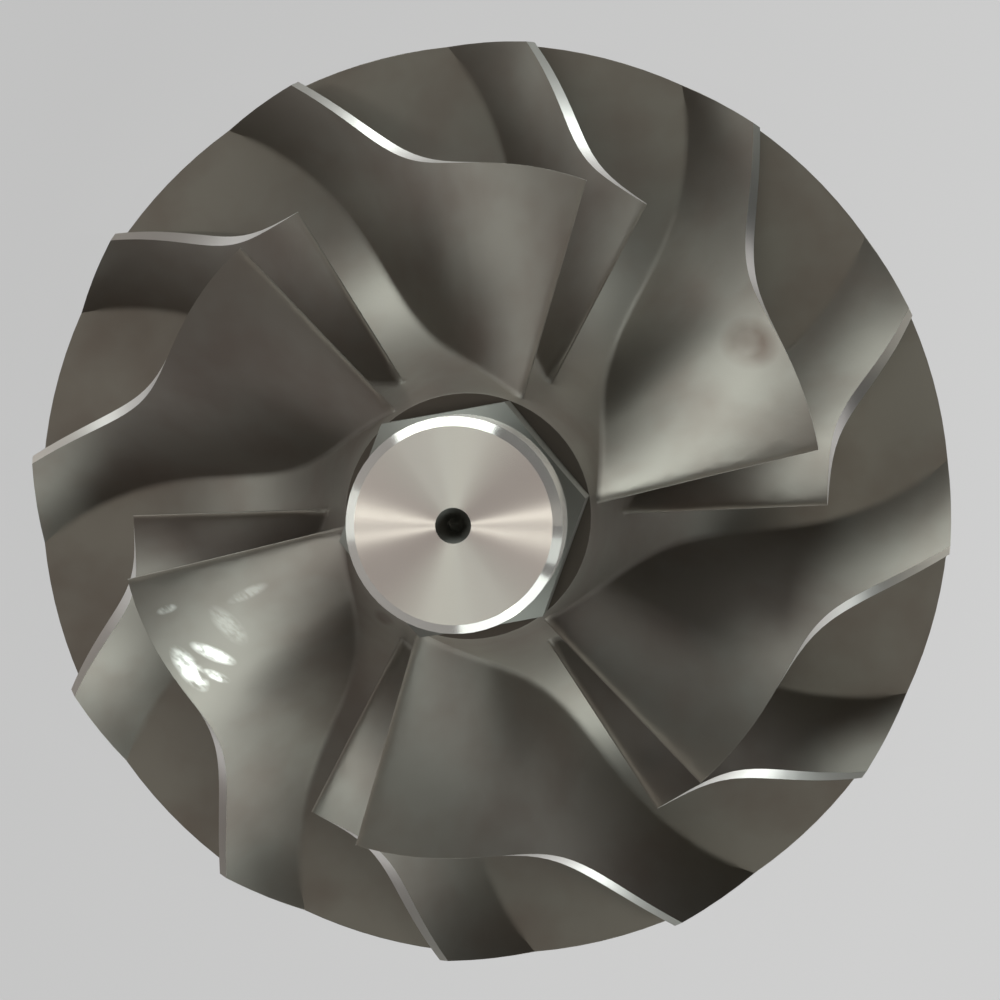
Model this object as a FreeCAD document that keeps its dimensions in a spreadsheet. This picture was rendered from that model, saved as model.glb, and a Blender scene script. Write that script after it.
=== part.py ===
"""Centrifugal compressor wheel, boreless, milled from one aluminium forging.

Axis along +Z, nose up, origin at the centre of the rear boss's end face.
Full blades and splitter blades stand on a hub of revolution. Their flanks are
ruled surfaces, their tips lie on one turned shroud contour, and their
trailing edges end on the cylinder of the exducer.
"""
import FreeCAD, Part
import math
import os
import Sketcher

# Driving dimensions: name, value in millimetres or degrees, meaning
SIZES = [
    ("exducer_diameter", 60.0, "outside diameter over the trailing edges"),
    ("inducer_diameter", 43.3, "diameter over the leading edge tips"),
    ("exit_blade_height", 3.75, "height of the trailing edges over the rim"),
    ("inlet_tip_height", 16.4, "leading edge tips over the rim"),
    ("hub_top_height", 17.9, "top of the hub curve over the rim"),
    ("shoulder_height", 18.0, "shoulder below the hexagon over the rim"),
    ("hub_cylinder_diameter", 15.0, "cylinder that the hexagon is milled from"),
    ("hexagon_across_flats", 13.0, "width over opposite flats"),
    ("hexagon_height", 4.8, "shoulder to the top of the hexagon"),
    ("hexagon_corner_drop", 0.65, "axial height of the turned corner chamfer"),
    ("hexagon_turn", 10.1, "angle of the first corner from +X"),
    ("nose_diameter", 12.7, "turned land above the hexagon"),
    ("nose_height", 5.3, "top of the hexagon to the nose face"),
    ("nose_chamfer", 0.55, "chamfer round the nose face"),
    ("centre_mouth_diameter", 2.1, "mouth of the centre drilling"),
    ("centre_pilot_diameter", 0.9, "pilot of the centre drilling"),
    ("centre_pilot_depth", 2.4, "depth of the pilot from the nose face"),
    ("rim_thickness", 1.2, "back disc at the outside diameter"),
    ("rim_flat_width", 5.0, "flat ring of the rear face, inside the rim"),
    ("back_cone_height", 1.6, "how far the rear face bulges towards the boss"),
    ("back_cone_inner_diameter", 18.0, "where the rear cone ends"),
    ("boss_diameter", 13.0, "rear boss that seats on the shaft shoulder"),
    ("boss_height", 1.8, "boss end face to the end of the rear cone"),
    ("boss_chamfer", 0.4, "chamfer round the boss end face"),
    ("pilot_bore_diameter", 7.0, "plain counterbore that centres on the shaft"),
    ("pilot_bore_depth", 3.0, "depth of the counterbore"),
    ("thread_core_diameter", 5.0, "core of the blind thread in the boss"),
    ("thread_core_depth", 13.0, "full depth of the thread core from the boss face"),
    ("hub_inlet_handle_out", 2.4, "hub curve: first handle, outwards"),
    ("hub_inlet_handle_down", 9.4, "hub curve: first handle, downwards"),
    ("hub_exit_handle", 15.9, "hub curve: last handle, inwards from the rim"),
    ("shroud_inlet_handle", 4.9, "shroud curve: first handle, downwards"),
    ("shroud_inlet_flare", 0.25, "shroud curve: first handle, outwards"),
    ("shroud_exit_handle", 9.45, "shroud curve: last handle, inwards"),
    ("shroud_exit_rise", 2.15, "shroud curve: last handle, upwards"),
    ("full_blades", 6, "number of full blades, and of splitter blades"),
    ("blade_turn", 54.6, "angle of the first full trailing edge tip from +X"),
    ("trailing_edge_lean", 10.0, "root of each trailing edge ahead of its tip"),
    ("full_root_start", 0.045, "share of the hub curve ahead of a full blade"),
    ("full_tip_angle", -43.8, "leading edge tip from the trailing edge tip"),
    ("full_tip_inlet_handle", -12.7, "tip wrap curve of a full blade"),
    ("full_tip_exit_handle", -13.3, "tip wrap curve of a full blade"),
    ("full_root_angle", -49.0, "leading edge root from the trailing edge tip"),
    ("full_root_inlet_handle", 10.5, "root wrap curve of a full blade"),
    ("full_root_exit_handle", -12.3, "root wrap curve of a full blade"),
    ("splitter_tip_start", 0.369, "share of the shroud curve ahead of a splitter"),
    ("splitter_root_start", 0.20, "share of the hub curve ahead of a splitter"),
    ("splitter_tip_angle", -23.5, "splitter leading edge tip"),
    ("splitter_tip_inlet_handle", -9.2, "tip wrap curve of a splitter"),
    ("splitter_tip_exit_handle", -9.7, "tip wrap curve of a splitter"),
    ("splitter_root_angle", -25.1, "splitter leading edge root"),
    ("splitter_root_inlet_handle", 2.0, "root wrap curve of a splitter"),
    ("splitter_root_exit_handle", -8.0, "root wrap curve of a splitter"),
    ("root_thickness", 1.25, "blade thickness at the hub, at mid length"),
    ("tip_thickness", 0.58, "blade thickness at the shroud, at mid length"),
    ("edge_thickness", 0.45, "share of that thickness left at both edges"),
    ("leading_nose_length", 0.7, "length of the elliptical leading edge nose"),
]

# Places that several features share, as expressions on the sheet
BACK = "(Sizes.boss_height + Sizes.back_cone_height)"
RIM = "(Sizes.boss_height + Sizes.back_cone_height + Sizes.rim_thickness)"
SHOULDER = RIM + " + Sizes.shoulder_height"
HEXAGON_TOP = SHOULDER + " + Sizes.hexagon_height"
NOSE_TOP = HEXAGON_TOP + " + Sizes.nose_height"
OUTSIDE = "Sizes.exducer_diameter / 2"
HUB_CYLINDER = "Sizes.hub_cylinder_diameter / 2"

BLANK_MARGIN = 2.5      # stock left outside the exducer until the last turning
BLADE_OVERHANG = 0.04   # share of its length that a raw blade runs on past the exit
BLADE_SINK = 1.0        # raw blade below the hub surface
BLADE_OVERSHOOT = 0.9   # raw blade above the shroud contour
NOSE_STEPS = (0.0, 0.07, 0.25, 0.55, 1.0)
BODY_STEPS = 9


def make_sheet(doc):
    """Put every driving dimension in a spreadsheet under its own alias."""
    sheet = doc.addObject("Spreadsheet::Sheet", "Sizes")
    for row, (alias, value, meaning) in enumerate(SIZES, start=1):
        sheet.set(f"A{row}", alias)
        sheet.set(f"B{row}", str(value))
        sheet.set(f"C{row}", meaning)
        sheet.setAlias(f"B{row}", alias)
    doc.recompute()
    return sheet


def number(sheet, expression):
    """Value of an expression on the sheet."""
    return float(sheet.evalExpression(expression))


def new_body(doc, label):
    """PartDesign body with its own label."""
    body = doc.addObject("PartDesign::Body", label)
    body.Label = label
    return body


def new_sketch(body, role, label):
    """Sketch on one of the body's own origin planes."""
    plane = [item for item in body.Origin.OriginFeatures if item.Role == role][0]
    sketch = body.newObject("Sketcher::SketchObject", label)
    sketch.AttachmentSupport = [(plane, "")]
    sketch.MapMode = "FlatFace"
    return sketch


def pin(sketch, curve, end, place):
    """Hold a point of a sketch curve at a pair of expressions from the origin."""
    for kind, axis, expression in (("DistanceX", -2, place[0]), ("DistanceY", -1, place[1])):
        if expression == "0":
            sketch.addConstraint(Sketcher.Constraint("PointOnObject", curve, end, axis))
            continue
        value = float(sketch.evalExpression(expression))
        rule = Sketcher.Constraint(kind, -1, 1, curve, end, value)
        index = sketch.addConstraint(rule)
        name = f"{kind}_{curve}_{end}"
        sketch.renameConstraint(index, name)
        sketch.setExpression("Constraints." + name, expression)


def draw_profile(sketch, corners, curved=None):
    """Closed outline through the corners; curved gives two handles for a side."""
    curved = curved or {}
    points = [plan_vector(sketch, corner) for corner in corners]
    for index, start in enumerate(points):
        finish = points[(index + 1) % len(points)]
        if index in curved:
            handles = [plan_vector(sketch, handle) for handle in curved[index]]
            curve = Part.BSplineCurve()
            poles = [start] + handles + [finish]
            curve.buildFromPolesMultsKnots(poles, [4, 4], [0, 1], False, 3)
        else:
            curve = Part.LineSegment(start, finish)
        sketch.addGeometry(curve, False)
    for index in range(len(points)):
        after = (index + 1) % len(points)
        sketch.addConstraint(Sketcher.Constraint("Coincident", index, 2, after, 1))
    for index, corner in enumerate(corners):
        pin(sketch, index, 1, corner)
    for index, handles in curved.items():
        first_pole = sketch.GeometryCount
        sketch.exposeInternalGeometry(index)
        pin(sketch, first_pole + 1, 3, handles[0])
        pin(sketch, first_pole + 2, 3, handles[1])


def plan_vector(sketch, place):
    """Vector in the sketch plane at a pair of expressions."""
    across = float(sketch.evalExpression(place[0]))
    up = float(sketch.evalExpression(place[1]))
    return FreeCAD.Vector(across, up, 0)


def revolve(body, corners, label, curved=None, kind="PartDesign::Revolution"):
    """Turned feature: a half section spun a full turn about the Z axis."""
    sketch = new_sketch(body, "XZ_Plane", label + "_section")
    draw_profile(sketch, corners, curved)
    feature = body.newObject(kind, label)
    feature.Profile = (sketch, [""])
    feature.ReferenceAxis = (sketch, ["V_Axis"])
    feature.Angle = 360
    return feature


def hub_handles():
    """Handles of the hub curve, from its top end to the rim."""
    inlet = (HUB_CYLINDER + " + Sizes.hub_inlet_handle_out",
             RIM + " + Sizes.hub_top_height - Sizes.hub_inlet_handle_down")
    exit_ = (OUTSIDE + " - Sizes.hub_exit_handle", RIM)
    return inlet, exit_


def shroud_handles():
    """Handles of the shroud curve, from the inlet to the exit."""
    inlet = ("Sizes.inducer_diameter / 2 + Sizes.shroud_inlet_flare",
             RIM + " + Sizes.inlet_tip_height - Sizes.shroud_inlet_handle")
    exit_ = (OUTSIDE + " - Sizes.shroud_exit_handle",
             RIM + " + Sizes.exit_blade_height + Sizes.shroud_exit_rise")
    return inlet, exit_


def make_hub_blank(doc):
    """Hub before milling: disc, hub curve and nose cylinder, all with stock left."""
    body = new_body(doc, "hub_blank")
    outer = f"{OUTSIDE} + {BLANK_MARGIN}"
    hub_top = RIM + " + Sizes.hub_top_height"
    corners = [("0", "0"), (outer, "0"), (outer, RIM), (OUTSIDE, RIM),
               (HUB_CYLINDER, hub_top), (HUB_CYLINDER, NOSE_TOP), ("0", NOSE_TOP)]
    inlet, exit_ = hub_handles()
    revolve(body, corners, "hub_turning", {3: (exit_, inlet)})
    return body


def make_turned_outline(doc):
    """Everything that the last turning leaves: rear face, exducer, shroud contour."""
    body = new_body(doc, "turned_outline")
    boss = "Sizes.boss_diameter / 2"
    cone = "Sizes.back_cone_inner_diameter / 2"
    inducer = "Sizes.inducer_diameter / 2"
    corners = [("0", "0"), (boss + " - Sizes.boss_chamfer", "0"), (boss, "Sizes.boss_chamfer"),
               (boss, "Sizes.boss_height"), (cone, "Sizes.boss_height"),
               (OUTSIDE + " - Sizes.rim_flat_width", BACK), (OUTSIDE, BACK),
               (OUTSIDE, RIM + " + Sizes.exit_blade_height"),
               (inducer, RIM + " + Sizes.inlet_tip_height"), (inducer, NOSE_TOP), ("0", NOSE_TOP)]
    inlet, exit_ = shroud_handles()
    revolve(body, corners, "outline_turning", {7: (exit_, inlet)})
    return body


def bezier(controls, share):
    """Cubic Bezier value at a share of its length."""
    rest = 1 - share
    weights = (rest ** 3, 3 * share * rest ** 2, 3 * share ** 2 * rest, share ** 3)
    return sum(weight * control for weight, control in zip(weights, controls))


def rail_point(rail, share):
    """Point of a blade's root or tip curve, counted from its leading edge."""
    along = rail["start"] + (1 - rail["start"]) * share
    radius = bezier(rail["radii"], along)
    height = bezier(rail["heights"], along)
    angle = math.radians(bezier(rail["angles"], share))
    return FreeCAD.Vector(radius * math.cos(angle), radius * math.sin(angle), height)


def rail_direction(rail, share):
    """Direction of that curve, towards the trailing edge."""
    step = 0.002
    return (rail_point(rail, share + step) - rail_point(rail, share - step)).normalize()


def root_rail(sheet, kind, start):
    """Root curve of a blade kind on the hub surface."""
    inlet, exit_ = hub_handles()
    radii = [HUB_CYLINDER, inlet[0], exit_[0], OUTSIDE]
    heights = [RIM + " + Sizes.hub_top_height", inlet[1], exit_[1], RIM]
    angles = [f"Sizes.{kind}_root_angle", f"Sizes.{kind}_root_inlet_handle",
              f"Sizes.{kind}_root_exit_handle", "Sizes.trailing_edge_lean"]
    return make_rail(sheet, radii, heights, angles, start)


def tip_rail(sheet, kind, start):
    """Tip curve of a blade kind on the shroud contour."""
    inlet, exit_ = shroud_handles()
    radii = ["Sizes.inducer_diameter / 2", inlet[0], exit_[0], OUTSIDE]
    heights = [RIM + " + Sizes.inlet_tip_height", inlet[1], exit_[1],
               RIM + " + Sizes.exit_blade_height"]
    angles = [f"Sizes.{kind}_tip_angle", f"Sizes.{kind}_tip_inlet_handle",
              f"Sizes.{kind}_tip_exit_handle", "0"]
    return make_rail(sheet, radii, heights, angles, start)


def make_rail(sheet, radii, heights, angles, start):
    """Rail with its expressions worked out."""
    return {"radii": [number(sheet, item) for item in radii],
            "heights": [number(sheet, item) for item in heights],
            "angles": [number(sheet, item) for item in angles],
            "start": start}


def blade_stations(sheet, root):
    """Shares along a blade, close together round the elliptical nose."""
    reach = (rail_point(root, 0.02) - rail_point(root, 0)).Length / 0.02
    nose = sheet.leading_nose_length / reach
    shares = [nose * step for step in NOSE_STEPS]
    body_length = 1 + BLADE_OVERHANG - nose
    shares += [nose + body_length * step / BODY_STEPS for step in range(1, BODY_STEPS + 1)]
    return shares, nose


def thickness_share(sheet, share, nose):
    """Blade thickness at a station, as a share of the thickness at mid length."""
    edge = sheet.edge_thickness
    body = edge + (1 - edge) * math.sin(math.pi * share)
    if share >= nose:
        return body
    return body * math.sqrt(1 - (1 - share / nose) ** 2)


def section_points(sheet, root, tip, level, sign):
    """One flank's line at root or tip level, from the leading to the trailing edge."""
    shares, nose = blade_stations(sheet, root)
    points = []
    for share in shares:
        low = rail_point(root, share)
        high = rail_point(tip, share)
        span = (high - low).normalize()
        if level == "root":
            base = low - span * BLADE_SINK
            normal = rail_direction(root, share).cross(span).normalize()
            thickness = sheet.root_thickness
        else:
            base = high + span * BLADE_OVERSHOOT
            normal = rail_direction(tip, share).cross(span).normalize()
            thickness = sheet.tip_thickness
        offset = sign * thickness * thickness_share(sheet, share, nose) / 2
        points.append(base + normal * offset)
    return points


def section_loop(sheet, root, tip, level):
    """Points round the leading edge, from one trailing corner to the other."""
    left = section_points(sheet, root, tip, level, 1)
    right = section_points(sheet, root, tip, level, -1)
    return left[:0:-1] + right


def chord_parameters(loops):
    """Shared spline parameters, so that facing stations keep straight rulings."""
    values = [0.0]
    for index in range(1, len(loops[0])):
        steps = [(loop[index] - loop[index - 1]).Length for loop in loops]
        values.append(values[-1] + sum(steps) / len(steps))
    return values


def flank_edges(loop, parameters):
    """The two halves of a section, split at the leading edge."""
    curve = Part.BSplineCurve()
    curve.interpolate(Points=loop, Parameters=parameters)
    middle = parameters[len(parameters) // 2]
    left = curve.toShape(parameters[0], middle)
    right = curve.toShape(middle, parameters[-1])
    return left, right


def blade_solid(sheet, root, tip):
    """Closed solid of one raw blade, longer and taller than the finished one."""
    low_loop = section_loop(sheet, root, tip, "root")
    high_loop = section_loop(sheet, root, tip, "tip")
    parameters = chord_parameters([low_loop, high_loop])
    low_left, low_right = flank_edges(low_loop, parameters)
    high_left, high_right = flank_edges(high_loop, parameters)
    low_end = Part.makeLine(low_loop[0], low_loop[-1])
    high_end = Part.makeLine(high_loop[0], high_loop[-1])
    faces = [Part.makeRuledSurface(low_left, high_left),
             Part.makeRuledSurface(low_right, high_right),
             Part.makeRuledSurface(low_end, high_end),
             Part.makeRuledSurface(low_left.reversed(), low_right),
             Part.makeRuledSurface(high_left.reversed(), high_right)]
    shell = Part.makeShell(faces)
    shell.sewShape()
    solid = Part.makeSolid(shell)
    if solid.Volume < 0:
        solid.reverse()
    return solid


def make_feature(doc, label, shape):
    """Plain feature that holds a shape built by Part's own functions."""
    feature = doc.addObject("Part::Feature", label)
    feature.Label = label
    feature.Shape = shape
    feature.Placement = FreeCAD.Placement()
    return feature


def make_raw_blades(doc, sheet):
    """The raw full blades and splitters, each kind copied round the axis."""
    pitch = 360 / sheet.full_blades
    kinds = [("full", sheet.full_root_start, 0.0, 0.0),
             ("splitter", sheet.splitter_root_start, sheet.splitter_tip_start, pitch / 2)]
    blades = []
    for kind, root_start, tip_start, turn in kinds:
        root = root_rail(sheet, kind, root_start)
        tip = tip_rail(sheet, kind, tip_start)
        raw = blade_solid(sheet, root, tip)
        for index in range(int(sheet.full_blades)):
            angle = sheet.blade_turn + turn + pitch * index
            blades.append(raw.rotated(FreeCAD.Vector(), FreeCAD.Vector(0, 0, 1), angle))
    return make_feature(doc, "raw_blades", Part.makeCompound(blades))


def make_milled_blank(doc, hub, blades):
    """Hub and raw blades as one solid."""
    return make_feature(doc, "milled_blank", hub.Shape.fuse(blades.Shape.Solids))


def make_turned_wheel(doc, milled, outline):
    """Last turning: exducer, shroud contour over the blade tips, rear face."""
    turned = doc.addObject("Part::MultiCommon", "turned_wheel")
    turned.Label = "turned_wheel"
    turned.Shapes = [milled, outline]
    return turned


def cut_hexagon(body):
    """Six flats milled into the hub cylinder, down to the shoulder."""
    sketch = new_sketch(body, "XY_Plane", "hexagon_plan")
    sketch.setExpression("AttachmentOffset.Base.z", SHOULDER)
    ring = Part.Circle(FreeCAD.Vector(), FreeCAD.Vector(0, 0, 1), 1)
    corners = []
    for index in range(6):
        turn = f"(Sizes.hexagon_turn + {60 * index})"
        reach = "Sizes.hexagon_across_flats / sqrt(3)"
        corners.append((f"{reach} * cos({turn})", f"{reach} * sin({turn})"))
    draw_profile(sketch, corners)
    circle = sketch.addGeometry(ring, False)
    sketch.addConstraint(Sketcher.Constraint("Coincident", circle, 3, -1, 1))
    index = sketch.addConstraint(Sketcher.Constraint("Radius", circle, 1))
    sketch.renameConstraint(index, "cutter_reach")
    sketch.setExpression("Constraints.cutter_reach", "Sizes.hub_cylinder_diameter")
    pocket = body.newObject("PartDesign::Pocket", "hexagon_flats")
    pocket.Profile = (sketch, [""])
    pocket.Reversed = True
    pocket.Type = "ThroughAll"


def turn_nose(body):
    """Nose land, its chamfer, and the chamfer over the hexagon's corners."""
    nose = "Sizes.nose_diameter / 2"
    above = NOSE_TOP + " + 1"
    corner = HUB_CYLINDER + " + 1"
    face = nose + " - Sizes.nose_chamfer"
    chamfer_foot = HEXAGON_TOP + " - Sizes.hexagon_corner_drop"
    corners = [(face, above), (face, NOSE_TOP), (nose, NOSE_TOP + " - Sizes.nose_chamfer"),
               (nose, HEXAGON_TOP), (HUB_CYLINDER, chamfer_foot), (corner, chamfer_foot),
               (corner, above)]
    revolve(body, corners, "nose_turning", kind="PartDesign::Groove")


def drill_centre(body):
    """Sixty degree centre drilling in the nose face."""
    mouth = "Sizes.centre_mouth_diameter / 2"
    pilot = "Sizes.centre_pilot_diameter / 2"
    cone_foot = f"{NOSE_TOP} - ({mouth} - {pilot}) * sqrt(3)"
    pilot_foot = NOSE_TOP + " - Sizes.centre_pilot_depth"
    corners = [("0", NOSE_TOP), (mouth, NOSE_TOP), (pilot, cone_foot), (pilot, pilot_foot),
               ("0", f"{pilot_foot} - {pilot} / sqrt(3)")]
    revolve(body, corners, "centre_drilling", kind="PartDesign::Groove")


def bore_boss(body):
    """Blind hole in the boss: a plain counterbore, then the thread's core."""
    pilot = "Sizes.pilot_bore_diameter / 2"
    core = "Sizes.thread_core_diameter / 2"
    corners = [("0", "0"), (pilot, "0"), (pilot, "Sizes.pilot_bore_depth"),
               (core, "Sizes.pilot_bore_depth"), (core, "Sizes.thread_core_depth"),
               ("0", f"Sizes.thread_core_depth + {core} / sqrt(3)")]
    revolve(body, corners, "boss_bore", kind="PartDesign::Groove")


def make_compressor_wheel(doc, turned):
    """The finished wheel: flats, nose and bores cut into the turned wheel."""
    body = new_body(doc, "compressor_wheel")
    body.BaseFeature = turned
    for cut in (cut_hexagon, turn_nose, drill_centre, bore_boss):
        cut(body)
        doc.recompute()
    return body


def check(doc, wheel):
    """Stop if any object failed or the wheel is not one sound solid."""
    for item in doc.Objects:
        if "Invalid" in item.State or "Error" in item.State:
            raise RuntimeError(f"{item.Name} failed: {item.State}")
    shape = wheel.Shape
    if shape.isNull() or not shape.isValid() or len(shape.Solids) != 1:
        raise RuntimeError("compressor_wheel is not one valid solid")


def main():
    doc = FreeCAD.newDocument("compressor_wheel")
    sheet = make_sheet(doc)
    hub = make_hub_blank(doc)
    outline = make_turned_outline(doc)
    doc.recompute()
    blades = make_raw_blades(doc, sheet)
    milled = make_milled_blank(doc, hub, blades)
    turned = make_turned_wheel(doc, milled, outline)
    doc.recompute()
    wheel = make_compressor_wheel(doc, turned)
    check(doc, wheel)
    os.makedirs("parts", exist_ok=True)
    wheel.Shape.exportStep("parts/compressor_wheel.step")
    print("compressor_wheel", round(wheel.Shape.Volume, 2), "mm3", wheel.Shape.BoundBox)


main()
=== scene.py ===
# %% [markdown]
# # A milled compressor wheel
# The part is the compressor wheel of a turbocharger: one piece of forged aluminium. A lathe turns
# its back, its nose and the outer edges of its blades, and a milling machine that tilts the wheel
# about two axes cuts the passages between the blades.
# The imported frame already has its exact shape, so this lesson gives it its finishes, a floor,
# lights and a camera. It starts by loading the frame.

# %% Load the frame
import math

import bpy
import numpy as np
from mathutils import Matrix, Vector

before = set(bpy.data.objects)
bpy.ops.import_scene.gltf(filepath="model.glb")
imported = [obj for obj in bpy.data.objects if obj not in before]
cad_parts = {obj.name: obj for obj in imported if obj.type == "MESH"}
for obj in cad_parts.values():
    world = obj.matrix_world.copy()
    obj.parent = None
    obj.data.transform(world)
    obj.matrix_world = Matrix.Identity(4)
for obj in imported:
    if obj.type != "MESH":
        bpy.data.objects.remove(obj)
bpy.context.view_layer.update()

MM = 0.001
OUTSIDE = 30.0          # outside radius in millimetres, the unit of the curves in the materials
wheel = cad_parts["compressor_wheel"]
print("the wheel has", len(wheel.data.polygons), "facets")

# %% [markdown]
# ## Colours, materials and nodes
# A colour is written as sRGB hex, as it is picked on a screen. A shader works with linear light,
# so one function converts it. A second one makes an empty material. The third adds any node, sets
# its properties and fills its inputs: each with a number, with an output of another node, or with
# a node, which stands for its first output. An input goes by its name, or by its number where
# several share a name. Every material below is made with these three.


# %% Helpers for colours, materials and nodes
def linear(hex_colour):
    channels = [int(hex_colour[i:i + 2], 16) / 255 for i in (1, 3, 5)]
    return [c / 12.92 if c <= 0.04045 else ((c + 0.055) / 1.055) ** 2.4 for c in channels] + [1.0]


def new_tree(name):
    material = bpy.data.materials.new(name)
    material.use_nodes = True
    material.node_tree.nodes.clear()
    return material, material.node_tree


def add_node(tree, kind, inputs=None, **settings):
    node = tree.nodes.new(kind)
    for name, value in settings.items():
        setattr(node, name, value)
    for name, value in (inputs or {}).items():
        if isinstance(value, bpy.types.Node):
            value = value.outputs[0]
        if isinstance(value, bpy.types.NodeSocket):
            tree.links.new(value, node.inputs[name])
        else:
            node.inputs[name].default_value = value
    return node


print("the grey #808080 in linear light:", round(linear("#808080")[0], 3))

# %% [markdown]
# ## Where the hub and the blade tips are
# Two curves in a half section rule the wheel: the hub that the blades stand on, and the turned
# contour that their tips share. Each is a cubic Bezier curve, given here by the radius and height
# of its four control points in millimetres. They are used twice: to find the turned tips among
# the facets, and to tell a material how far a point is from the hub.

# %% The two ruling curves
HUB = ((7.5, 22.5), (9.9, 13.1), (14.1, 4.6), (30.0, 4.6))
TIPS = ((21.65, 21.0), (21.9, 16.1), (20.55, 10.5), (30.0, 8.35))


def along(controls, share):
    share = np.asarray(share)[..., None]
    rest = 1 - share
    a, b, c, d = [np.array(point) for point in controls]
    return a * rest ** 3 + 3 * b * share * rest ** 2 + 3 * c * share ** 2 * rest + d * share ** 3


print("hub radius and height half way:", along(HUB, 0.5).round(2))

# %% [markdown]
# ## Radius and height of a point, for a material
# A material knows a point by its X, Y and Z on the wheel. The wheel is round, so a radius and a
# height say more. Both are given as shares of the outside radius, because the curve node that
# holds the hub curve works from 0 to 1.


# %% Radius and height
def radius_and_height(tree, place):
    parts = add_node(tree, "ShaderNodeSeparateXYZ", {"Vector": place})
    flat = add_node(tree, "ShaderNodeCombineXYZ",
                    {"X": parts.outputs["X"], "Y": parts.outputs["Y"]})
    length = add_node(tree, "ShaderNodeVectorMath", {0: flat}, operation="LENGTH")
    radius = add_node(tree, "ShaderNodeMath",
                      {0: length.outputs["Value"], 1: OUTSIDE * MM}, operation="DIVIDE")
    height = add_node(tree, "ShaderNodeMath",
                      {0: parts.outputs["Z"], 1: OUTSIDE * MM}, operation="DIVIDE")
    return radius, height


print("the hub runs from", np.divide(HUB[0], OUTSIDE).round(3), "to", np.divide(HUB[-1], OUTSIDE))

# %% [markdown]
# ## Distance to the hub, for a material
# The cutter leaves a fillet where a blade meets the hub, and hub and blade reflect each other
# there. A material can draw that fillet with a Bevel node, which rounds the shading near a corner.
# It should only do so near the hub, because the tips are sharp. So the material has to know how
# far it is from the hub. Two curve nodes hold the hub curve as a few points, one to look up its
# height at a radius and one its radius at a height, and the smaller gap is close enough.


# %% Distance to the hub
HUB_POINTS = 9


def hub_profile(tree, position, pairs):
    profile = add_node(tree, "ShaderNodeFloatCurve", {"Value": position})
    points = profile.mapping.curves[0].points
    while len(points) < len(pairs):
        points.new(0.5, 0.5)
    for point, pair in zip(points, pairs):
        point.location = pair
    profile.mapping.update()
    return profile


def distance_to_hub(tree, radius, height):
    """In millimetres."""
    hub = along(HUB, np.linspace(0, 1, HUB_POINTS)) / OUTSIDE
    hub_height = hub_profile(tree, radius, hub.tolist())
    hub_radius = hub_profile(tree, height, hub[::-1, ::-1].tolist())
    gap_up = add_node(tree, "ShaderNodeMath", {0: height, 1: hub_height}, operation="SUBTRACT")
    gap_out = add_node(tree, "ShaderNodeMath", {0: radius, 1: hub_radius}, operation="SUBTRACT")
    smaller = add_node(tree, "ShaderNodeMath", {0: gap_up, 1: gap_out}, operation="MINIMUM")
    return add_node(tree, "ShaderNodeMath", {0: smaller, 1: OUTSIDE}, operation="MULTIPLY")


print("a material holds the hub curve as", HUB_POINTS, "points")

# %% [markdown]
# ## Places of the wear
# One blade is rubbed near its tip: a few short streaks where the metal is bright and smoother.
# Another blade carries a dull brown smudge, and there is a small one at a root. Each is an oval
# drawn round a point on the wheel, in millimetres, and a ragged noise breaks it up. A Mapping node
# of the Texture kind centres and turns the oval, so its length and width are read as they are.

# %% Rub marks and smudges
# the middle of each oval, its turn in degrees, its length, its width and its strength
RUBS = (((-18.0, -10.0, 17.5), -60, 4.5, 1.5, 1.0), ((-16.5, -9.0, 17.5), -30, 3.5, 1.0, 1.0),
        ((-16.5, -10.5, 16.5), -30, 2.0, 0.7, 0.9), ((-19.0, -6.0, 20.0), 20, 1.5, 0.6, 0.6),
        ((-15.5, -7.0, 18.0), -55, 4.0, 1.5, 0.22), ((-14.0, -5.0, 19.5), 25, 3.0, 0.8, 0.2))
SMUDGES = (((17.0, 10.5, 16.5), -40, 5.0, 3.5, 1.0), ((-5.5, -6.5, 18.5), 20, 2.0, 1.5, 0.8))
PATCH_DEPTH = 5.0       # reach of an oval through the blade in millimetres


def oval(tree, place, middle, turn, length, width):
    """1 in an oval patch round a point in millimetres, falling to 0 at its edge."""
    inputs = {"Vector": place, "Location": [number * MM for number in middle],
              "Rotation": (0, 0, math.radians(turn)),
              "Scale": (length / 2 * MM, width / 2 * MM, PATCH_DEPTH / 2 * MM)}
    moved = add_node(tree, "ShaderNodeMapping", inputs, vector_type="TEXTURE")
    away = add_node(tree, "ShaderNodeVectorMath", {0: moved}, operation="LENGTH")
    return add_node(tree, "ShaderNodeMapRange",
                    {"Value": away.outputs["Value"], "From Min": 1.0, "From Max": 0.5})


def patches(tree, place, ovals, ragged):
    share = 0.0
    for middle, turn, length, width, strength in ovals:
        shape = oval(tree, place, middle, turn, length, width)
        patch = add_node(tree, "ShaderNodeMath", {0: shape, 1: strength}, operation="MULTIPLY")
        share = add_node(tree, "ShaderNodeMath", {0: share, 1: patch}, operation="MAXIMUM")
    return add_node(tree, "ShaderNodeMath", {0: share, 1: ragged}, operation="MULTIPLY")


print(len(RUBS), "rub marks and", len(SMUDGES), "smudges")

# %% [markdown]
# ## Milled forged aluminium: its relief
# The blades and the hub between them are milled from the forging. Near the hub the shading is
# rounded as the cutter rounds the metal, and that fades out before the rim, where a passage opens.
# Rows of tiny cutter marks make the metal satin. They are too fine to show, so a noise of a
# quarter of a millimetre stands for them, as bump.


# %% Relief of the milled faces
FILLET = 0.6                    # radius in millimetres that the cutter leaves at the hub
SHARP = 0.04                    # the little that is rounded elsewhere
FILLET_FADE = (0.9, 1.7)        # distances to the hub between which the rounding fades
RIM_FADE = (28.7, 29.3)         # radii between which it fades before the rim
GRAIN = 0.25                    # width of a grain of the cutter's texture
BUMP_HEIGHT = 0.01              # height of every bump on the wheel, before its strength


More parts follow.
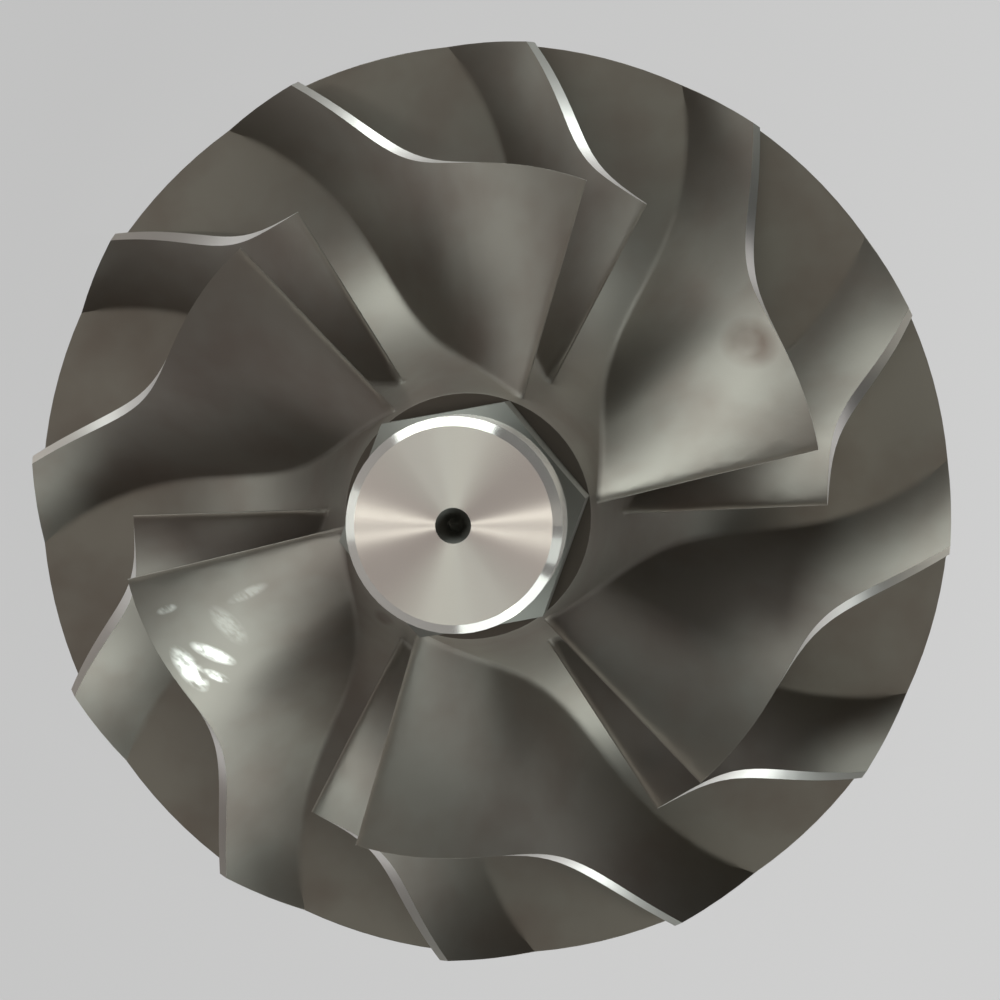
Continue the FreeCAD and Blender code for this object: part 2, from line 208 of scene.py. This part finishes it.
def milled_relief(tree, place):
    radius, height = radius_and_height(tree, place)
    near = add_node(tree, "ShaderNodeMapRange",
                    {"Value": distance_to_hub(tree, radius, height),
                     "From Min": FILLET_FADE[0], "From Max": FILLET_FADE[1],
                     "To Min": FILLET * MM, "To Max": SHARP * MM})
    inside = add_node(tree, "ShaderNodeMapRange",
                      {"Value": radius, "From Min": RIM_FADE[0] / OUTSIDE,
                       "From Max": RIM_FADE[1] / OUTSIDE, "To Min": 1.0, "To Max": 0.1})
    reach = add_node(tree, "ShaderNodeMath", {0: near, 1: inside}, operation="MULTIPLY")
    rounded = add_node(tree, "ShaderNodeBevel", {"Radius": reach}, samples=2)
    grain = add_node(tree, "ShaderNodeTexNoise",
                     {"Vector": place, "Scale": 1 / (GRAIN * MM), "Detail": 2.0})
    return add_node(tree, "ShaderNodeBump", {"Height": grain, "Strength": 0.3,
                                             "Distance": BUMP_HEIGHT * MM, "Normal": rounded})


print("root fillets:", FILLET, "mm, faded out", FILLET_FADE[1], "mm from the hub")

# %% [markdown]
# ## Milled forged aluminium: its stain and wear
# Handling and cleaning leave the metal a little cloudy, so a noise of a few millimetres moves its
# colour between a grey and a warmer grey. The smudges lie over that, and the rub marks over both.
# A rub mark is torn along the way it was rubbed, so its noise is four times as long as it is wide.


# %% Stain and wear of the milled faces
CLOUDS = 6.0            # width of a cloudy patch in millimetres
STREAKS = 0.4           # width of a streak in a rub mark
RUB_TURN = -48          # the way the blade was rubbed, in degrees


def rub_marks(tree, place):
    along_rub = add_node(tree, "ShaderNodeMapping",
                         {"Vector": place, "Rotation": (0, 0, math.radians(RUB_TURN)),
                          "Scale": (4, 1, 2)}, vector_type="TEXTURE")
    streaks = add_node(tree, "ShaderNodeTexNoise",
                       {"Vector": along_rub, "Scale": 1 / (STREAKS * MM), "Detail": 4.0})
    torn = add_node(tree, "ShaderNodeMapRange",
                    {"Value": streaks, "From Min": 0.32, "From Max": 0.56})
    return patches(tree, place, RUBS, torn)


def milled_colour(tree, place, cloud, rubbed):
    """On a Mix node of colours, 0 is the share, 6 and 7 the colours, and output 2 the mix."""
    stain = add_node(tree, "ShaderNodeMapRange",
                     {"Value": cloud, "From Min": 0.42, "From Max": 0.68})
    ragged = add_node(tree, "ShaderNodeMapRange",
                      {"Value": cloud, "From Min": 0.25, "From Max": 0.5})
    smudged = patches(tree, place, SMUDGES, ragged)
    stained = add_node(tree, "ShaderNodeMix",
                       {0: stain, 6: linear("#9c978f"), 7: linear("#928981")}, data_type="RGBA")
    dull = add_node(tree, "ShaderNodeMix",
                    {0: smudged, 6: stained.outputs[2], 7: linear("#776b63")}, data_type="RGBA")
    worn = add_node(tree, "ShaderNodeMix",
                    {0: rubbed, 6: dull.outputs[2], 7: linear("#f4f3ed")}, data_type="RGBA")
    return worn.outputs[2]


print("stain in patches of", CLOUDS, "mm, streaks of", STREAKS, "mm")

# %% [markdown]
# ## Milled forged aluminium: the material
# Bare aluminium is a metal, so its colour is the tint of its reflections and it is fully metallic.
# The cutter marks spread a reflection widely, a little more where the metal is clouded and less
# where it is rubbed. To the eye it is a soft grey sheen that turns dark away from the light.


# %% Milled forged aluminium
def milled_aluminium():
    material, tree = new_tree("milled_forged_aluminium")
    place = add_node(tree, "ShaderNodeTexCoord").outputs["Object"]
    cloud = add_node(tree, "ShaderNodeTexNoise",
                     {"Vector": place, "Scale": 1 / (CLOUDS * MM), "Detail": 3.0})
    rubbed = rub_marks(tree, place)
    satin = add_node(tree, "ShaderNodeMapRange",
                     {"Value": cloud, "From Min": 0.3, "From Max": 0.7,
                      "To Min": 0.47, "To Max": 0.52})
    smoother = add_node(tree, "ShaderNodeMapRange", {"Value": rubbed, "To Max": 0.12})
    roughness = add_node(tree, "ShaderNodeMath", {0: satin, 1: smoother}, operation="SUBTRACT")
    shader = add_node(tree, "ShaderNodeBsdfPrincipled",
                      {"Base Color": milled_colour(tree, place, cloud, rubbed), "Metallic": 1.0,
                       "Roughness": roughness, "Normal": milled_relief(tree, place)})
    add_node(tree, "ShaderNodeOutputMaterial", {"Surface": shader})
    return material


milled = milled_aluminium()
print(milled.name, "has", len(milled.node_tree.nodes), "nodes")

# %% [markdown]
# ## Turned aluminium
# The blade tips, the rim, the nose and the back are turned. The tool leaves fine rings, one for
# each turn, and a ring spreads a reflection across itself. On the flat nose a lamp then shows as
# two bright wedges. An anisotropic shader does that, with a tangent that runs round the axis and
# a quarter turn, because the spread is across the rings. The rings are drawn as bump as well, a
# tenth to a quarter of a millimetre wide, which is coarser than real ones, so that they show.


# %% Turned aluminium
def turned_aluminium(name, colour, roughness, spread, pitch, depth):
    """Rings of a pitch in millimetres; spread is the anisotropy, depth the bump strength."""
    material, tree = new_tree(name)
    place = add_node(tree, "ShaderNodeTexCoord").outputs["Object"]
    radius, height = radius_and_height(tree, place)
    feed = add_node(tree, "ShaderNodeMath", {0: radius, 1: height}, operation="ADD")
    rings = add_node(tree, "ShaderNodeTexNoise",
                     {"W": feed, "Scale": OUTSIDE / pitch, "Detail": 1.0}, noise_dimensions="1D")
    bump = add_node(tree, "ShaderNodeBump",
                    {"Height": rings, "Strength": depth, "Distance": BUMP_HEIGHT * MM})
    tangent = add_node(tree, "ShaderNodeTangent", direction_type="RADIAL", axis="Z")
    shader = add_node(tree, "ShaderNodeBsdfPrincipled",
                      {"Base Color": linear(colour), "Metallic": 1.0, "Roughness": roughness,
                       "Anisotropic": spread, "Anisotropic Rotation": 0.25,
                       "Tangent": tangent, "Normal": bump})
    add_node(tree, "ShaderNodeOutputMaterial", {"Surface": shader})
    return material


tips = turned_aluminium("turned_aluminium_tips", "#e6e2de", 0.38, 0.5, pitch=0.10, depth=0.10)
nose = turned_aluminium("turned_aluminium_nose", "#efece6", 0.27, 1.0, pitch=0.12, depth=0.12)
back = turned_aluminium("turned_aluminium_back", "#c9c6c0", 0.30, 0.7, pitch=0.25, depth=0.25)
print("turned finishes:", tips.name, nose.name, back.name)

# %% [markdown]
# ## Milled flats
# The six flats of the hexagon and the ledge under them are cut with the side and the end of a
# small mill, which leaves marks that run round them. The ledge and the foot of the flats are
# painted darker: that is painted shade for the corner under the hexagon.

# %% Milled flats
LEDGE = 22.55           # height in millimetres just under the ledge below the hexagon
SHADE_TOP = 23.4            # height at which the painted shade on the flats has faded out
MARKS = 0.6             # width of a mill mark


def milled_flats():
    material, tree = new_tree("end_milled_aluminium")
    place = add_node(tree, "ShaderNodeTexCoord").outputs["Object"]
    height = radius_and_height(tree, place)[1]
    unshaded = add_node(tree, "ShaderNodeMapRange",
                     {"Value": height, "From Min": LEDGE / OUTSIDE, "From Max": SHADE_TOP / OUTSIDE})
    # painted shade: the colour is dark at the ledge and grows lighter up the flats
    colour = add_node(tree, "ShaderNodeMix",
                      {0: unshaded, 6: linear("#5f5852"), 7: linear("#94938d")}, data_type="RGBA")
    squeezed = add_node(tree, "ShaderNodeMapping",
                        {"Vector": place, "Scale": (1.0, 1.0, 6.0)}, vector_type="POINT")
    marks = add_node(tree, "ShaderNodeTexNoise",
                     {"Vector": squeezed, "Scale": 1 / (MARKS * MM), "Detail": 3.0})
    bump = add_node(tree, "ShaderNodeBump",
                    {"Height": marks, "Strength": 0.2, "Distance": BUMP_HEIGHT * MM})
    shader = add_node(tree, "ShaderNodeBsdfPrincipled",
                      {"Base Color": colour.outputs[2], "Metallic": 1.0, "Roughness": 0.45,
                       "Normal": bump})
    add_node(tree, "ShaderNodeOutputMaterial", {"Surface": shader})
    return material


flats = milled_flats()
print(flats.name, "has", len(flats.node_tree.nodes), "nodes")

# %% [markdown]
# ## Measuring the facets
# The wheel is one mesh with one slot for each finish, and its facets are sorted by their place.
# So the radius and height of each corner are read out first, and of the middle of each facet.

# %% Slots and measures
FINISHES = {"milled": milled, "tips": tips, "nose": nose, "flats": flats, "back": back}
order = list(FINISHES)
mesh = wheel.data
mesh.materials.clear()
for finish in FINISHES.values():
    mesh.materials.append(finish)

points = np.zeros(len(mesh.vertices) * 3)
mesh.vertices.foreach_get("co", points)
points = points.reshape(-1, 3) / MM
corners = np.zeros(len(mesh.loops), dtype=int)
mesh.loops.foreach_get("vertex_index", corners)
corners = corners.reshape(-1, 3)

radius = np.hypot(points[:, 0], points[:, 1])
height = points[:, 2]
facet_radius = radius[corners].mean(axis=1)
facet_height = height[corners].mean(axis=1)
print("largest radius", radius.max().round(2), "mm, height", height.max().round(2), "mm")

# %% [markdown]
# ## Finding the turned tips
# A facet is on a turned tip where its three corners all lie on the tip curve, or at the small
# land where a leading edge begins. The curve is walked in short steps, and each corner keeps its
# distance to the nearest step.

# %% Tips and rim
TIP_STEPS = 400
TIP_REACH = 0.06        # distance to the tip curve within which a corner is on it
RIM_REACH = 29.97       # radius just inside the rim

gap_to_tips = np.full(len(points), np.inf)
for tip_radius, tip_height in along(TIPS, np.linspace(0, 1, TIP_STEPS)):
    gap_to_tips = np.minimum(gap_to_tips, np.hypot(radius - tip_radius, height - tip_height))
on_land = (radius > 21.6) & (radius < 21.7) & (height > 20.9)
on_tips = (gap_to_tips < TIP_REACH) | on_land
on_rim = radius > RIM_REACH
print("corners on the tips:", int(on_tips.sum()), "and on the rim:", int(on_rim.sum()))

# %% [markdown]
# ## Giving each facet its finish
# What is left is sorted by height and radius: the back lies under the rim, the flats stand over
# the ledge, and the nose over the hexagon. The centre drilling gets the flats' finish: duller, as
# drilled metal is, and darker than the nose, which is painted shade in the hole.

# %% Sort the facets
BACK_EDGE = 3.41        # heights in millimetres: just over the rear face
HEXAGON_TOP = 27.45     # just over the hexagon
NOSE_FACE = 32.6        # just under the nose face
HEXAGON_REACH = 7.6     # radius just outside the hexagon
DRILLING_REACH = 1.25   # radius just outside the centre drilling

choice = np.full(len(corners), order.index("milled"))
choice[on_tips[corners].all(axis=1) | on_rim[corners].all(axis=1)] = order.index("tips")
choice[(facet_height > LEDGE) & (facet_radius < HEXAGON_REACH)] = order.index("flats")
choice[facet_height > HEXAGON_TOP] = order.index("nose")
inside_nose = (facet_height > HEXAGON_TOP) & (facet_height < NOSE_FACE)
# the drilling takes the duller flats finish, and its darker colour is painted shade in the hole
choice[inside_nose & (facet_radius < DRILLING_REACH)] = order.index("flats")
choice[facet_height < BACK_EDGE] = order.index("back")
mesh.polygons.foreach_set("material_index", choice.astype(np.int32))
for index, finish in enumerate(order):
    print(finish, "facets:", int((choice == index).sum()))

# %% [markdown]
# ## Floor
# The wheel stands on its rear boss on a pale sheet. For the camera and for reflections the sheet
# is lifted to a light grey that glows by itself, a little lighter on the right. A share of the
# plain paint is left in it, so it keeps part of the shadow.

# %% Sheet paint
LIFT = 0.85             # share of the glow where the sheet is seen or mirrored

paint_material, tree = new_tree("pale_studio_sheet")
path = add_node(tree, "ShaderNodeLightPath")
mirrored = add_node(tree, "ShaderNodeMath",
                    {0: path.outputs["Is Glossy Ray"], 1: path.outputs["Is Transmission Ray"]},
                    operation="MAXIMUM")
seen = add_node(tree, "ShaderNodeMath",
                {0: path.outputs["Is Camera Ray"], 1: mirrored}, operation="MAXIMUM")
lift = add_node(tree, "ShaderNodeMath", {0: seen, 1: LIFT}, operation="MULTIPLY")
across = add_node(tree, "ShaderNodeSeparateXYZ",
                  {"Vector": add_node(tree, "ShaderNodeTexCoord").outputs["Object"]})
half_y = add_node(tree, "ShaderNodeMath", {0: across.outputs["Y"], 1: 0.5}, operation="MULTIPLY")
slope = add_node(tree, "ShaderNodeMath",
                 {0: across.outputs["X"], 1: half_y}, operation="SUBTRACT")
uneven = add_node(tree, "ShaderNodeMapRange",
                  {"Value": slope, "From Min": -0.04, "From Max": 0.04,
                   "To Min": 0.93, "To Max": 1.09})
paint = add_node(tree, "ShaderNodeBsdfDiffuse", {"Color": linear("#c4c4c4")})
glow = add_node(tree, "ShaderNodeEmission", {"Color": linear("#d2d2d2"), "Strength": uneven})
mixed = add_node(tree, "ShaderNodeMixShader", {0: lift, 1: paint, 2: glow})
add_node(tree, "ShaderNodeOutputMaterial", {"Surface": mixed})
print(paint_material.name, "has", len(tree.nodes), "nodes")

# %% Sheet
bpy.ops.object.select_all(action="DESELECT")
bpy.ops.mesh.primitive_plane_add(size=4.0, location=(0, 0, 0))
floor = bpy.context.active_object
floor.name = "studio_sheet"
floor.data.materials.append(paint_material)
print("the sheet is", floor.dimensions.x, "m wide")

# %% [markdown]
# ## Lamps
# Two groups of wide soft boxes stand low behind and in front of the wheel, so that each blade that
# faces one is lit and the next passage is in shade. Their light is a touch green. One soft box
# overhead lights the flat nose. Two narrow strips high on the left and right give the turned nose
# its two bright wedges, and two weak reflectors light the sectors between them.


# %% Soft boxes
LAMP_REACH = 0.9        # metres from the wheel to every lamp


def softbox(name, turn, rise, size, power, colour):
    """A lamp facing the wheel: its turn and rise in degrees, its size in metres, its watts."""
    turn, rise = math.radians(turn), math.radians(rise)
    flat = math.cos(rise)
    place = Vector((flat * math.cos(turn), flat * math.sin(turn), math.sin(rise)))
    data = bpy.data.lights.new(name, "AREA")
    data.shape = "RECTANGLE"
    data.size, data.size_y = size
    data.energy = power
    data.color = linear(colour)[:3]
    lamp = bpy.data.objects.new(name, data)
    bpy.context.scene.collection.objects.link(lamp)
    lamp.location = place * LAMP_REACH
    lamp.rotation_euler = place.to_track_quat("Z", "Y").to_euler()


softbox("back_softbox", 100, 13, (1.0, 0.45), 5.2, "#f5fffd")
softbox("front_softbox", 285, 12, (0.55, 0.4), 1.9, "#f5fffd")
softbox("corner_softbox", 310, 10, (0.5, 0.35), 1.6, "#f5fffd")
softbox("side_softbox", 178, 15, (0.4, 0.3), 0.7, "#f5fffd")
softbox("right_softbox", 342, 6, (0.25, 0.2), 0.35, "#f5fffd")
softbox("overhead_softbox", 212, 84, (0.3, 0.3), 0.22, "#fff4ee")
softbox("back_reflector", 88, 73, (0.3, 0.2), 0.10, "#e6fff0")
softbox("front_reflector", 268, 73, (0.3, 0.2), 0.10, "#e6fff0")
softbox("right_strip", 2, 62, (0.02, 0.25), 0.46, "#fffdf2")
softbox("left_strip", 181, 62, (0.02, 0.25), 0.22, "#fffdf2")

print("lamps:", len(bpy.data.lights))

# %% [markdown]
# ## Dim air
# A real room is never black, and metal mirrors all of it. The air round the wheel gives a faint
# warm light that grows to the left. With the greenish lamps it makes lit metal look greenish and
# shaded metal look brown. A ramp along X sets its strength.

# %% World
AIR = 0.24              # strength on the far left

world = bpy.data.worlds.new("studio_air")
bpy.context.scene.world = world
world.use_nodes = True
air_tree = world.node_tree
air_tree.nodes.clear()
ray = add_node(air_tree, "ShaderNodeTexCoord").outputs["Generated"]
sides = add_node(air_tree, "ShaderNodeSeparateXYZ", {"Vector": ray})
strength = add_node(air_tree, "ShaderNodeMapRange",
                    {"Value": sides.outputs["X"], "From Min": 0.3, "From Max": -1.0,
                     "To Min": 0.0, "To Max": AIR})
air = add_node(air_tree, "ShaderNodeBackground", {"Color": linear("#fff4ee"), "Strength": strength})
add_node(air_tree, "ShaderNodeOutputWorld", {"Surface": air})
print("strength of the air on the far left:", AIR)

# %% [markdown]
# ## Camera
# The camera looks down on the nose from 24 centimetres, about five degrees off the axis. From so
# near, a blade tip looks larger than the rim below it, as it does to the eye.

# %% Camera
camera_data = bpy.data.cameras.new("camera")
camera_data.sensor_width = 36
camera_data.lens = 127.76
camera = bpy.data.objects.new("camera", camera_data)
bpy.context.scene.collection.objects.link(camera)
camera.location = (18.55 * MM, 11.67 * MM, 237.63 * MM)
camera.rotation_euler = (math.radians(-2.83), math.radians(4.414), 0)
bpy.context.scene.camera = camera
bpy.context.scene.view_settings.view_transform = "Standard"
print("the lens is", camera_data.lens, "mm")
